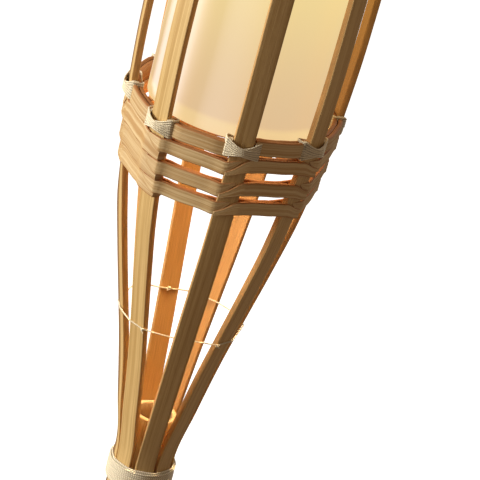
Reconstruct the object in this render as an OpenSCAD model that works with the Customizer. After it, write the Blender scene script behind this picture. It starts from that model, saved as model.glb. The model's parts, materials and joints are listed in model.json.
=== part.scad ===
// Bamboo garden torch: a hollow pole, eight slats bound round it that flare into a basket,
// woven splint rows and string lashings that hold the slats, and a lantern that lifts out.
// Z runs up the pole. The origin is on the pole's axis where its round foot begins.

/* [Pole] */
// Outside diameter of the pole
pole_d = 26.8; // [26.8:0.1:27]
// Wall of the hollow pole
pole_wall = 3.2; // [2:0.1:5]
// Height of the neck above the foot, where the slats start to flare
neck_z = 560; // [500:5:900]
// How far the pole stands up inside the neck
pole_rise = 21.7; // [10:0.1:30]
// Length of the slanting point below the foot
point_len = 36; // [20:1:60]
// Heights of the joints in the bamboo
knot_z = [192, 408];

/* [Slats] */
// Width of a slat
slat_w = 11.4; // [9:0.1:11.6]
// Width of the one narrow slat at the back
narrow_slat_w = 9.4; // [8:0.1:9.6]
// Thickness of a slat
slat_t = 3.8; // [3:0.1:4]
// Height of the slat tips above the neck
slat_top = 380; // [370:1:390]
// Length of the slats below the neck
slat_tail = 76; // [60:1:90]
// Outside radius of the basket above its shoulder
basket_r = 62.2; // [61:0.1:64]

/* [Woven rows] */
// Radial thickness of a woven row, two splints deep
row_t = 5.4; // [5:0.1:6]
// How far a row bows out between slats, from 0 for straight to 1 for a true circle
row_bow = 0.3; // [0.2:0.05:0.6]
// Thickness of the splint where it wraps round a slat
wrap_t = 1.6; // [1.4:0.1:2]
// Height of the mid twine above the neck
twine_z = 87; // [70:1:110]
// Diameter of the mid twine
twine_d = 0.8; // [0.6:0.1:1.2]

/* [Cord bindings] */
// Diameter of the binding cord
cord_d = 1.7; // [1:0.1:2.5]
// Height of the binding at the neck
neck_binding_h = 15; // [10:1:20]
// Height of the binding at the slats' lower ends
tail_binding_h = 12; // [8:1:16]

/* [Lantern] */
// Outside diameter of the frosted diffuser
diffuser_d = 98.2; // [97:0.2:98.4]
// Wall of the diffuser
diffuser_wall = 2; // [1.5:0.1:2]
// Height of the diffuser's lower edge above the neck
diffuser_z = 216.7; // [214:0.1:225]
// Height of the plug that closes the diffuser's lower end
diffuser_base_h = 8.5; // [6:0.5:12]
// Radius of the cap's flange, which rests on the slat tips
flange_r = 64; // [63:0.5:68]
// Depth of the tray under the flange
tray_depth = 20; // [20:0.5:22]
// Height of the lid above its seal
lid_h = 13.7; // [13.5:0.1:16]
// Width of the square solar panel
panel_w = 60; // [50:1:64]
// Travel of the push button
button_travel = 1.5; // [1:0.1:1.5]
// Angle that the diffuser turns to come off its lugs
twist_angle = 20; // [15:1:22]

/* [Hidden] */

$fn = 64;
eps = 0.01;

// Each slat's angle about the pole, counted from the front (-Y) towards +X: spread by hand
SLAT_ANGLES = [-77.5, -38.5, 9, 51, 106.5, 155, 199, 233];
NARROW_SLAT = 7;
// Outside radius of the slats at heights above the neck
FLARE = [[-slat_tail, 17.2], [-6, 17.2], [28, 22.9], [60, 29], [90, 36], [122, 43.7], [155, 51],
         [184, 55.5], [222, 60], [268, basket_r - 0.4], [slat_top, basket_r]];
// Bottom and height of each woven row, above the neck, from the top down
LOWER_ROWS = [[214, 8.2], [203.9, 7.6], [189.6, 7.8], [177.6, 7.6]];
UPPER_ROWS = [[362, 8.2], [349, 7.8], [336, 7.8]];
// Whether the mid twine passes outside (1) or inside (-1) each slat
TWINE_SIDE = [1, 1, -1, 1, 1, -1, -1, 1];

// Lantern heights, above the neck
rest_gap = 0.3;
flange_t = 3;
flange_z = slat_top + rest_gap;
tray_z = flange_z - tray_depth;
tray_floor_t = 2;
seal_t = 1;
seal_z = flange_z + flange_t;
lid_z = seal_z + seal_t;
lid_top_z = lid_z + lid_h;
lid_plate_t = 2.5;
lid_wall = 2.2;
lid_r = 63.5;
lid_top_r = 57.5;
collar_r = diffuser_d / 2 - diffuser_wall - 0.3;
collar_wall = 3;
lug_depth = 1.2;
lug_h = 3;
lug_angle = 8;
lug_z = tray_z + 9;
panel_t = 1.8;
screw_ring_r = 53.6;
SCREW_ANGLES = [90, 210, 330];
button_r = 4;
button_y = -49.2;
button_proud = 2.2;
switch_top_z = lid_top_z - lid_plate_t - 3.3;
LEAD_X = [-3, 3];
lead_y = -12;
lead_r = 0.8;

board = [44, 28, 1.6];
board_y = -24;
board_z = tray_z + 6;
BOARD_SCREWS = [[-18, -20], [18, -20]];
led_r = 2.5;
battery_r = 7.1;
battery_len = 48.5;
battery_y = 18;
battery_z = tray_z + 10.2;
bay = [53, 15.4];
bay_wall = 1.2;
door = [62, 18.4, 1.8];
door_x = -28;
door_screw_x = 31;

// Smooth curve through a list of [height, radius] stations, with no overshoot between them
function slope(s, i) = (s[i + 1][1] - s[i][1]) / (s[i + 1][0] - s[i][0]);
function tangent(s, i) =
    i == 0 ? slope(s, 0)
    : i == len(s) - 1 ? slope(s, i - 1)
    : let (a = slope(s, i - 1), b = slope(s, i)) a * b <= 0 ? 0 : 2 * a * b / (a + b);
function span(s, z, i = 0) = i >= len(s) - 2 || z < s[i + 1][0] ? i : span(s, z, i + 1);
function curve(s, z) =
    let (i = span(s, z), dz = s[i + 1][0] - s[i][0], t = (z - s[i][0]) / dz)
    s[i][1] * (2 * pow(t, 3) - 3 * pow(t, 2) + 1) + s[i + 1][1] * (3 * pow(t, 2) - 2 * pow(t, 3))
    + dz * tangent(s, i) * (pow(t, 3) - 2 * pow(t, 2) + t) + dz * tangent(s, i + 1) * (pow(t, 3) - pow(t, 2));
function flare(z) = curve(FLARE, z);

function slat_width(i) = i == NARROW_SLAT ? narrow_slat_w : slat_w;
function polar(r, a) = [r * cos(a), r * sin(a)];
// Model angle, counted from +X, of a slat
function slat_angle(i) = SLAT_ANGLES[i % 8] - 90 + (i >= 8 ? 360 : 0);

// ---- Pole ----

module pole_knot(z) {
    translate([0, 0, z]) {
        rotate_extrude() translate([pole_d / 2 - 0.3, 0]) circle(r = 1.5);
        translate([0, 0, -2]) cylinder(d = pole_d, h = 4);
    }
}

module pole() {
    top = neck_z + pole_rise;
    bore_d = pole_d - 2 * pole_wall;
    lean = atan2(point_len, pole_d);
    color("burlywood") difference() {
        union() {
            difference() {
                translate([0, 0, -point_len]) cylinder(d = pole_d, h = top + point_len);
                translate([0, 0, -point_len - 1]) cylinder(d = bore_d, h = top + point_len + 2);
            }
            for (z = knot_z) pole_knot(z);
        }
        // The slanting cut of the point
        translate([pole_d / 2, 0, 0]) rotate([0, -lean, 0])
            translate([-3 * point_len, -pole_d, -2 * point_len]) cube([6 * point_len, 2 * pole_d, 2 * point_len]);
    }
}

// ---- Slats ----

SLAT_STEPS = concat([-slat_tail], [for (z = [-6:11.4:268]) z], [slat_top]);
RISING = [for (z = SLAT_STEPS) [flare(z), z]];
FALLING = [for (k = [len(SLAT_STEPS) - 1:-1:0]) [flare(SLAT_STEPS[k]) - slat_t, SLAT_STEPS[k]]];

// One slat, its sides trimmed along radial planes so that neighbours clear each other at the neck
module slat(i) {
    w = slat_width(i);
    reach = 2 * basket_r;
    wedge = atan2(w / 2, FLARE[0][1]);
    translate([0, 0, neck_z]) rotate([0, 0, slat_angle(i)]) intersection() {
        rotate([90, 0, 0]) linear_extrude(height = w, center = true) polygon(concat(RISING, FALLING));
        translate([0, 0, -slat_tail - 1]) linear_extrude(height = slat_tail + slat_top + 2)
            polygon([[0, 0], polar(reach, -wedge), polar(reach, wedge)]);
    }
}

module slats() {
    for (i = [0:7]) slat(i);
}

// ---- Woven rows ----

// Points across one slat and along the gap after it, offset outwards by d
function row_stretch(rc, i, d) =
    let (e0 = atan2(slat_width(i) / 2, rc),
         e1 = atan2(slat_width((i + 1) % 8) / 2, rc),
         a0 = slat_angle(i) + e0,
         a1 = slat_angle(i + 1) - e1,
         half = (a1 - a0) / 2,
         edge_r = rc / cos(e0))
    concat([polar(edge_r + d, a0 - 2 * e0)],
           [for (k = [0:4]) let (f = -half + k * half / 2)
               polar(edge_r * ((1 - row_bow) * cos(half) / cos(f) + row_bow) + d, a0 + half + f)]);
function row_outline(rc, d) = [for (i = [0:7]) each row_stretch(rc, i, d)];

module row_band(row) {
    rc = flare(row[0] + row[1] / 2) - slat_t / 2;
    translate([0, 0, neck_z + row[0]]) linear_extrude(height = row[1]) difference() {
        polygon(row_outline(rc, row_t / 2));
        polygon(row_outline(rc, -row_t / 2));
    }
}

// A block round every slat, standing proud of it by t, from height z up by h
module slat_wraps(z, h, t) {
    r = flare(z + h / 2);
    for (i = [0:7]) rotate([0, 0, slat_angle(i)])
        translate([r - slat_t - t, -slat_width(i) / 2 - t, neck_z + z])
            cube([slat_t + 2 * t, slat_width(i) + 2 * t, h]);
}

// A row whose splint wraps once round each slat
module wrapped_row(row) {
    color("tan") difference() {
        union() {
            row_band(row);
            slat_wraps(row[0], row[1], wrap_t);
        }
        slats();
    }
}

// The top row of a group, which string lashings hold to the slats
module lashed_row(row) {
    color("tan") difference() {
        row_band(row);
        slats();
    }
}

// The string lashings where the top row crosses each slat
module lashings(row) {
    color("wheat") difference() {
        slat_wraps(row[0] - 1, row[1] + 2, (row_t - slat_t) / 2 + cord_d / 2);
        row_band(row);
        slats();
    }
}

// ---- Twine and cord bindings ----

// The twine's axis lies this far from a slat's face
twine_gap = 0.65 * twine_d;

// The twine's loop: before, on and after each slat, on its outer or its inner face
function twine_point(i, side) =
    let (r = flare(twine_z) + (TWINE_SIDE[i] > 0 ? twine_gap : -slat_t - twine_gap),
         a = slat_angle(i),
         half = slat_width(i) / 2 + twine_d)
    [r * cos(a) - side * half * sin(a), r * sin(a) + side * half * cos(a)];
TWINE = [for (i = [0:7]) for (side = [-1, 0, 1]) twine_point(i, side)];
TWINE_SIDES = 8;

module mid_twine() {
    n = len(TWINE);
    m = TWINE_SIDES;
    ring_points = [for (p = TWINE) for (k = [0:m - 1])
        let (a = 360 * k / m, r = norm(p) + twine_d / 2 * cos(a))
        [p[0] / norm(p) * r, p[1] / norm(p) * r, neck_z + twine_z + twine_d / 2 * sin(a)]];
    color("wheat") polyhedron(
        points = ring_points,
        faces = [for (j = [0:n - 1]) for (k = [0:m - 1]) for (half = [0, 1])
            let (a = j * m + k, b = j * m + (k + 1) % m,
                 c = ((j + 1) % n) * m + (k + 1) % m, d = ((j + 1) % n) * m + k)
            half == 0 ? [a, b, c] : [a, c, d]]);
}

module cord_binding(z, h) {
    inner_r = norm([FLARE[0][1], slat_w / 2]) + 0.05;
    color("wheat") translate([0, 0, neck_z + z]) difference() {
        cylinder(r = inner_r + cord_d, h = h);
        translate([0, 0, -1]) cylinder(r = inner_r, h = h + 2);
    }
}

module neck_binding() {
    cord_binding(-9 - neck_binding_h, neck_binding_h);
}

module tail_binding() {
    cord_binding(-slat_tail + 4, tail_binding_h);
}

// ---- Diffuser, which turns on the cap's collar ----

module diffuser_tube() {
    inner_r = diffuser_d / 2 - diffuser_wall;
    top = flange_z - 1;
    color("antiquewhite") translate([0, 0, neck_z]) {
        difference() {
            translate([0, 0, diffuser_z]) cylinder(d = diffuser_d, h = top - diffuser_z, $fn = 96);
            translate([0, 0, diffuser_z - 1]) cylinder(r = inner_r, h = top - diffuser_z + 2, $fn = 96);
        }
        // Lugs that hold it on the collar
        for (a = SCREW_ANGLES) rotate([0, 0, a - lug_angle / 2]) translate([0, 0, lug_z])
            rotate_extrude(angle = lug_angle) translate([inner_r - lug_depth, 0]) square([lug_depth + eps, lug_h]);
    }
}

module diffuser_base() {
    inner_r = diffuser_d / 2 - diffuser_wall;
    floor_t = 2;
    color("ivory") translate([0, 0, neck_z + diffuser_z]) difference() {
        cylinder(r = inner_r, h = diffuser_base_h);
        translate([0, 0, floor_t]) cylinder(r = inner_r - 2.5, h = diffuser_base_h);
    }
}

// ---- Cap ----

// Blind grooves in the collar: a way in from below, then a run to the locked place.
// The run is a little longer and the way in a little deeper, so that no faces coincide.
module collar_grooves() {
    groove_r = collar_r - lug_depth - 0.2;
    side_gap = 0.6;
    start = -lug_angle / 2 - side_gap;
    for (a = SCREW_ANGLES) {
        rotate([0, 0, a + start]) translate([0, 0, lug_z - 0.3])
            rotate_extrude(angle = twist_angle + lug_angle + 2 * side_gap + 1)
                translate([groove_r, 0]) square([collar_wall, lug_h + 0.6]);
        rotate([0, 0, a + start + twist_angle]) translate([0, 0, tray_z - 1])
            rotate_extrude(angle = lug_angle + 2 * side_gap)
                translate([groove_r - 0.1, 0]) square([collar_wall, lug_z - tray_z + 1.3]);
    }
}

module battery_bay_walls() {
    translate([-bay[0] / 2 - bay_wall, battery_y - bay[1] / 2 - bay_wall, tray_z + tray_floor_t - eps])
        cube([bay[0] + 2 * bay_wall, bay[1] + 2 * bay_wall, 10]);
}

module battery_bay_space() {
    translate([-bay[0] / 2, battery_y - bay[1] / 2, tray_z - 1]) cube([bay[0], bay[1], 20]);
    translate([door_x - 0.3, battery_y - door[1] / 2 - 0.3, tray_z - 1]) cube([door[0] + 0.6, door[1] + 0.6, 2]);
}

module cap_housing() {
    color([0.16, 0.14, 0.12]) translate([0, 0, neck_z]) difference() {
        union() {
            translate([0, 0, flange_z]) cylinder(r = flange_r, h = flange_t, $fn = 96);
            translate([0, 0, tray_z]) cylinder(r = collar_r, h = tray_depth + eps, $fn = 96);
        }
        difference() {
            translate([0, 0, tray_z + tray_floor_t]) cylinder(r = collar_r - collar_wall, h = tray_depth + flange_t);
            battery_bay_walls();
            for (p = BOARD_SCREWS) translate([p[0], p[1], tray_z]) cylinder(r = 2.5, h = board_z - tray_z);
            translate([door_screw_x, battery_y, tray_z]) cylinder(r = 2.8, h = 8);
        }
        battery_bay_space();
        for (p = BOARD_SCREWS) translate([p[0], p[1], tray_z + tray_floor_t]) cylinder(r = 1, h = 10);
        translate([door_screw_x, battery_y, tray_z - 1]) cylinder(r = 1.2, h = 8);
        translate([0, 0, tray_z - 1]) cylinder(r = led_r + 0.6, h = 10);
        for (a = SCREW_ANGLES) translate([each polar(screw_ring_r, a), flange_z - 1]) cylinder(r = 1.6, h = 10);
        collar_grooves();
    }
}

module lid_seal() {
    color([0.08, 0.08, 0.08]) translate([0, 0, neck_z + seal_z]) difference() {
        cylinder(r = lid_r, h = seal_t);
        translate([0, 0, -1]) cylinder(r = lid_r - lid_wall, h = seal_t + 2);
    }
}

module cap_lid() {
    shoulder_z = lid_z + 2.7;
    plate_z = lid_top_z - lid_plate_t;
    color([0.16, 0.14, 0.12]) translate([0, 0, neck_z]) difference() {
        union() {
            difference() {
                rotate_extrude($fn = 96) polygon([[0, lid_z], [lid_r, lid_z], [lid_r, shoulder_z],
                    [lid_top_r, lid_top_z], [0, lid_top_z]]);
                rotate_extrude($fn = 96) polygon([[0, lid_z - 1], [lid_r - lid_wall, lid_z - 1],
                    [lid_r - lid_wall, shoulder_z], [lid_top_r - lid_wall, plate_z], [0, plate_z]]);
            }
            for (a = SCREW_ANGLES) translate([each polar(screw_ring_r, a), seal_z])
                cylinder(r = 3.2, h = plate_z - seal_z + eps);
        }
        for (a = SCREW_ANGLES) translate([each polar(screw_ring_r, a), seal_z - 1]) cylinder(r = 1.5, h = 9.2);
        translate([-panel_w / 2 - 0.3, -panel_w / 2 - 0.3, lid_top_z - panel_t])
            cube([panel_w + 0.6, panel_w + 0.6, panel_t + 1]);
        for (x = LEAD_X) translate([x, lead_y, plate_z - 1]) cylinder(r = lead_r + 0.4, h = lid_plate_t);
        translate([0, button_y, plate_z - 1]) cylinder(r = button_r + 0.3, h = lid_plate_t + 2);
    }
}

module screw(shank_r, shank_l, head_r, head_h) {
    translate([0, 0, -0.2]) cylinder(r = shank_r, h = shank_l + 0.2);
    translate([0, 0, -head_h]) difference() {
        cylinder(r = head_r, h = head_h);
        for (turn = [0, 90]) rotate([0, 0, turn])
            translate([-head_r * 0.6, -0.3, -1]) cube([head_r * 1.2, 0.6, 1 + head_h * 0.5]);
    }
}

module cap_screws() {
    color("silver") for (a = SCREW_ANGLES)
        translate([each polar(screw_ring_r, a), neck_z + flange_z]) screw(1.5, 11, 2.6, 1.6);
}

module solar_panel() {
    color([0.08, 0.1, 0.2]) translate([-panel_w / 2, -panel_w / 2, neck_z + lid_top_z - panel_t])
        cube([panel_w, panel_w, panel_t]);
}

module panel_leads() {
    top = lid_top_z - panel_t;
    foot = board_z + board[2];
    color("firebrick") for (x = LEAD_X)
        translate([x, lead_y, neck_z + foot]) cylinder(r = lead_r, h = top - foot);
}

module circuit_board() {
    color("darkgreen") translate([0, 0, neck_z + board_z]) difference() {
        translate([-board[0] / 2, board_y, 0]) cube(board);
        for (p = BOARD_SCREWS) translate([p[0], p[1], -1]) cylinder(r = 1.2, h = board[2] + 2);
    }
}

module board_screws() {
    color("silver") for (p = BOARD_SCREWS)
        translate([p[0], p[1], neck_z + board_z + board[2]]) rotate([180, 0, 0]) screw(1, 5, 2, 1.2);
}

module led() {
    tip_z = tray_z - 1.5;
    color("lightyellow") translate([0, 0, neck_z]) {
        translate([0, 0, tip_z]) cylinder(r = led_r, h = board_z - tip_z);
        translate([0, 0, tip_z]) sphere(r = led_r);
    }
}

module reflector() {
    mouth_r = 7.4;
    throat_r = led_r + 0.6;
    depth = 6;
    skin = 1;
    color("white") translate([0, 0, neck_z + tray_z - depth]) rotate_extrude()
        polygon([[mouth_r, 0], [mouth_r + skin, 0], [throat_r + skin, depth], [throat_r, depth]]);
}

module battery() {
    nub_len = 1.2;
    color("royalblue") translate([-battery_len / 2, battery_y, neck_z + battery_z]) rotate([0, 90, 0]) {
        cylinder(r = battery_r, h = battery_len - nub_len);
        cylinder(r = 2.7, h = battery_len);
    }
}

module battery_contacts() {
    plate = [0.5, 10, 8];
    color("silver") for (side = [-1, 1]) {
        face = side * battery_len / 2;
        wall = side * bay[0] / 2;
        translate([min(wall, wall - side * plate[0]), battery_y - plate[1] / 2, neck_z + battery_z - plate[2] / 2])
            cube(plate);
        translate([min(face, wall - side * plate[0]), battery_y, neck_z + battery_z]) rotate([0, 90, 0])
            cylinder(r = 2, h = abs(wall - face) - plate[0]);
    }
}

module battery_door() {
    lip = [bay[0] - 0.6, bay[1] - 0.6, 1];
    color([0.16, 0.14, 0.12]) difference() {
        union() {
            translate([door_x, battery_y - door[1] / 2, neck_z + tray_z + 1 - door[2]]) cube(door);
            translate([-lip[0] / 2, battery_y - lip[1] / 2, neck_z + tray_z + 1 - eps]) cube(lip);
        }
        translate([door_screw_x, battery_y, neck_z + tray_z - 2]) cylinder(r = 1.4, h = 5);
    }
}

module door_screw() {
    color("silver") translate([door_screw_x, battery_y, neck_z + tray_z + 1 - door[2]]) screw(1.1, 5.5, 2.2, 1.2);
}

// ---- Push button and its switch ----

module switch_body() {
    size = 9;
    color("dimgray") translate([0, 0, neck_z]) difference() {
        translate([-size / 2, button_y - size / 2, seal_z]) cube([size, size, switch_top_z - seal_z]);
        translate([0, button_y, seal_z + 2]) cylinder(r = 2.3, h = 20);
    }
}

module switch_button() {
    collar_top = lid_top_z - lid_plate_t - 0.1;
    collar_h = 1.4;
    stem_z = switch_top_z - 2;
    color("firebrick") translate([0, button_y, neck_z]) {
        translate([0, 0, stem_z]) cylinder(r = 2, h = collar_top - stem_z);
        translate([0, 0, collar_top - collar_h]) cylinder(r = button_r + 1.2, h = collar_h);
        translate([0, 0, collar_top - eps]) cylinder(r = button_r, h = lid_top_z + button_proud - collar_top);
    }
}

pole();
for (i = [0:7]) color("burlywood") slat(i);
lashed_row(LOWER_ROWS[0]);  // lower_row_1
for (i = [1:3]) wrapped_row(LOWER_ROWS[i]);
lashed_row(UPPER_ROWS[0]);  // upper_row_1
for (i = [1:2]) wrapped_row(UPPER_ROWS[i]);
lashings(LOWER_ROWS[0]);  // lower_lashings
lashings(UPPER_ROWS[0]);  // upper_lashings
mid_twine();
neck_binding();
tail_binding();
diffuser_tube();
diffuser_base();
cap_housing();
cap_lid();
lid_seal();
cap_screws();
solar_panel();
panel_leads();
circuit_board();
board_screws();
led();
reflector();
battery();
battery_contacts();
battery_door();
door_screw();
switch_body();
switch_button();
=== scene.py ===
"""Looks of the bamboo garden torch: slats, woven splints, string, bindings and lantern round the CAD frame.

Shapes are worked out in millimetres. Bump depths, bevels, the materials' object coordinates, the
floor, the lights and the camera are in metres. Angles of slats are counted from the front (-Y)
towards +X, and heights of the basket are counted from the neck.
"""
import json
import math
import random

import bmesh
import bpy
import numpy as np
from mathutils import Matrix, Vector

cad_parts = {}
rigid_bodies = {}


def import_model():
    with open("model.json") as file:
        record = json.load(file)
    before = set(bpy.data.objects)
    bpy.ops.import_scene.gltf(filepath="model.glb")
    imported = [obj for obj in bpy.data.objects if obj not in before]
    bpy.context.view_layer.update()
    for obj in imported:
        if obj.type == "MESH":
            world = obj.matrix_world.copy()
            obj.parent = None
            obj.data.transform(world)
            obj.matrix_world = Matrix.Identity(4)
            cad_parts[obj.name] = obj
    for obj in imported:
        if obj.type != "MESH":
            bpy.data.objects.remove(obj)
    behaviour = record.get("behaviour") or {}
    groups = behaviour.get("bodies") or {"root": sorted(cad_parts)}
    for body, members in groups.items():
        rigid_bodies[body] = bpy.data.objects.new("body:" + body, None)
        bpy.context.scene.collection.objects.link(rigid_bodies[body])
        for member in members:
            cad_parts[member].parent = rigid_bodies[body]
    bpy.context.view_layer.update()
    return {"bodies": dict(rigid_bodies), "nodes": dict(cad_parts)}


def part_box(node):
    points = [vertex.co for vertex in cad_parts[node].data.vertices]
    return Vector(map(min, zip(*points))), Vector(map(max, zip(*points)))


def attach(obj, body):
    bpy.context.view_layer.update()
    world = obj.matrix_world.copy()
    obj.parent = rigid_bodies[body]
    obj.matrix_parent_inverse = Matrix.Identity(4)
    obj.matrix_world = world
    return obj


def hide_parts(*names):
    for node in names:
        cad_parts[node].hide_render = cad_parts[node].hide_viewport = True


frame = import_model()
nodes = frame["nodes"]

# ---------------------------------------------------------------- sizes shared with the CAD

NECK = 1000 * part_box("slat_1")[0].z + 76
SLAT_ANGLES = [-77.5, -38.5, 9, 51, 106.5, 155, 199, 233]
SLAT_WIDTHS = [11.4, 11.4, 11.4, 11.4, 11.4, 11.4, 11.4, 9.4]
SLAT_T = 3.8
SLAT_LOW = -76
SLAT_TOP = 380
FLARE = [
    (-76, 17.2), (-6, 17.2), (28, 22.9), (60, 29), (90, 36), (122, 43.7), (155, 51),
    (184, 55.5), (222, 60), (268, 61.8), (380, 62.2),
]
LOWER_ROWS = [(214, 8.2), (203.9, 7.6), (189.6, 7.8), (177.6, 7.6)]
UPPER_ROWS = [(362, 8.2), (349, 7.8), (336, 7.8)]
ROW_BOW = 0.3
TWINE_Z = 87
TWINE_SIDE = [1, 1, -1, 1, 1, -1, -1, 1]


def flare(z):
    """Outside radius of the slats at a height above the neck: a smooth curve through FLARE."""
    last = len(FLARE) - 2
    i = 0
    while i < last and z >= FLARE[i + 1][0]:
        i += 1

    def slope(k):
        return (FLARE[k + 1][1] - FLARE[k][1]) / (FLARE[k + 1][0] - FLARE[k][0])

    def tangent(k):
        if k == 0:
            return slope(0)
        if k == len(FLARE) - 1:
            return slope(k - 1)
        a, b = slope(k - 1), slope(k)
        return 0 if a * b <= 0 else 2 * a * b / (a + b)

    dz = FLARE[i + 1][0] - FLARE[i][0]
    t = (z - FLARE[i][0]) / dz
    r0, r1 = FLARE[i][1], FLARE[i + 1][1]
    return (
        r0 * (2 * t**3 - 3 * t**2 + 1)
        + r1 * (3 * t**2 - 2 * t**3)
        + dz * tangent(i) * (t**3 - 2 * t**2 + t)
        + dz * tangent(i + 1) * (t**3 - t**2)
    )


def slat_angle(i):
    """Model angle of slat i, from +X, in radians. Index 8 is slat 0 one turn on."""
    return math.radians(SLAT_ANGLES[i % 8] - 90 + (360 if i >= 8 else 0))


def slat_frame(i):
    """Outward and sideways directions of slat i."""
    a = slat_angle(i)
    return Vector((math.cos(a), math.sin(a), 0)), Vector((-math.sin(a), math.cos(a), 0))


def on_slat(i, r, x, z):
    """A point at radius r along slat i's middle plane, x to its side, z above the neck."""
    out, side = slat_frame(i)
    p = out * r + side * x
    return Vector((p.x, p.y, NECK + z))


def smooth(t):
    """Eases from 0 to 1 as t does, and stays level outside."""
    t = min(1.0, max(0.0, t))
    return t * t * (3 - 2 * t)


def mix(a, b, t):
    """The value at share t of the way from a to b."""
    return a + (b - a) * t


# ---------------------------------------------------------------- mesh building


class Shape:
    """Collects rings of points into one mesh, with a grain coordinate and a tint at each point.

    grain is (across the fibres, along the fibres, depth below the skin).
    """

    def __init__(self):
        self.verts = []
        self.faces = []
        self.grain = []
        self.tint = []

    def add(self, rings, grains, tints=0.0, loop=False):
        """Adds a skin over the rings, closed into a loop or else with a cap at each end."""
        first = len(self.verts)
        count = len(rings)
        size = len(rings[0])
        for j in range(count):
            for k in range(size):
                self.verts.append(rings[j][k])
                self.grain.append(grains[j][k])
                self.tint.append(tints if isinstance(tints, float) else tints[j][k])
        for j in range(count if loop else count - 1):
            a = first + j * size
            b = first + ((j + 1) % count) * size
            for k in range(size):
                n = (k + 1) % size
                self.faces.append((a + k, a + n, b + n, b + k))
        if not loop:
            self.faces.append(tuple(first + k for k in range(size))[::-1])
            self.faces.append(tuple(first + (count - 1) * size + k for k in range(size)))

    def build(self, name, material, body, replaces=(), sharp=50):
        """Makes the object, on its body. Edges over sharp degrees stay sharp."""
        mesh = bpy.data.meshes.new(name)
        mesh.from_pydata([(0.001 * v[0], 0.001 * v[1], 0.001 * v[2]) for v in self.verts], [], self.faces)
        attribute = mesh.attributes.new("grain", "FLOAT_VECTOR", "POINT")
        attribute.data.foreach_set("vector", np.array(self.grain, np.float32).ravel())
        attribute = mesh.attributes.new("tint", "FLOAT", "POINT")
        attribute.data.foreach_set("value", np.array(self.tint, np.float32))
        bm = bmesh.new()
        bm.from_mesh(mesh)
        bmesh.ops.recalc_face_normals(bm, faces=bm.faces)
        bm.to_mesh(mesh)
        bm.free()
        mesh.shade_smooth()
        mesh.set_sharp_from_angle(angle=math.radians(sharp))
        obj = bpy.data.objects.new(name, mesh)
        bpy.context.scene.collection.objects.link(obj)
        mesh.materials.append(material)
        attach(obj, body)
        if replaces:
            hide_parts(*replaces)
        return obj


def tube(shape, points, radius, sides=8, loop=True, seed=0.0, tint=0.0):
    """A round thread along the points. Its grain runs round and along it."""
    count = len(points)
    rings = []
    grains = []
    length = 0.0
    for j, p in enumerate(points):
        after = points[(j + 1) % count] if loop or j < count - 1 else p
        before = points[j - 1] if loop or j > 0 else p
        along = (after - before).normalized()
        if j:
            length += (p - points[j - 1]).length
        helper = Vector((0, 0, 1)) if abs(along.z) < 0.9 else Vector((p.x, p.y, 0)).normalized()
        u = along.cross(helper).normalized()
        v = u.cross(along).normalized()
        ring = []
        grain = []
        for k in range(sides):
            a = 2 * math.pi * k / sides
            ring.append(p + radius * (math.cos(a) * u + math.sin(a) * v))
            grain.append((k / sides, length + seed, 0.0))
        rings.append(ring)
        grains.append(grain)
    shape.add(rings, grains, tint, loop=loop)


def curve_through(points, steps, loop=False):
    """A Catmull-Rom curve through the points, with the given number of steps in each stretch."""
    count = len(points)
    result = []
    for j in range(count if loop else count - 1):
        if loop:
            p0, p1, p2, p3 = (points[(j + k - 1) % count] for k in range(4))
        else:
            p0 = points[max(j - 1, 0)]
            p1 = points[j]
            p2 = points[j + 1]
            p3 = points[min(j + 2, count - 1)]
        for s in range(steps):
            t = s / steps
            result.append(
                0.5 * (2 * p1 + (p2 - p0) * t + (2 * p0 - 5 * p1 + 4 * p2 - p3) * t**2
                       + (3 * p1 - 3 * p2 + p3 - p0) * t**3)
            )
    if not loop:
        result.append(points[-1].copy())
    return result


# ---------------------------------------------------------------- materials


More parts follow.
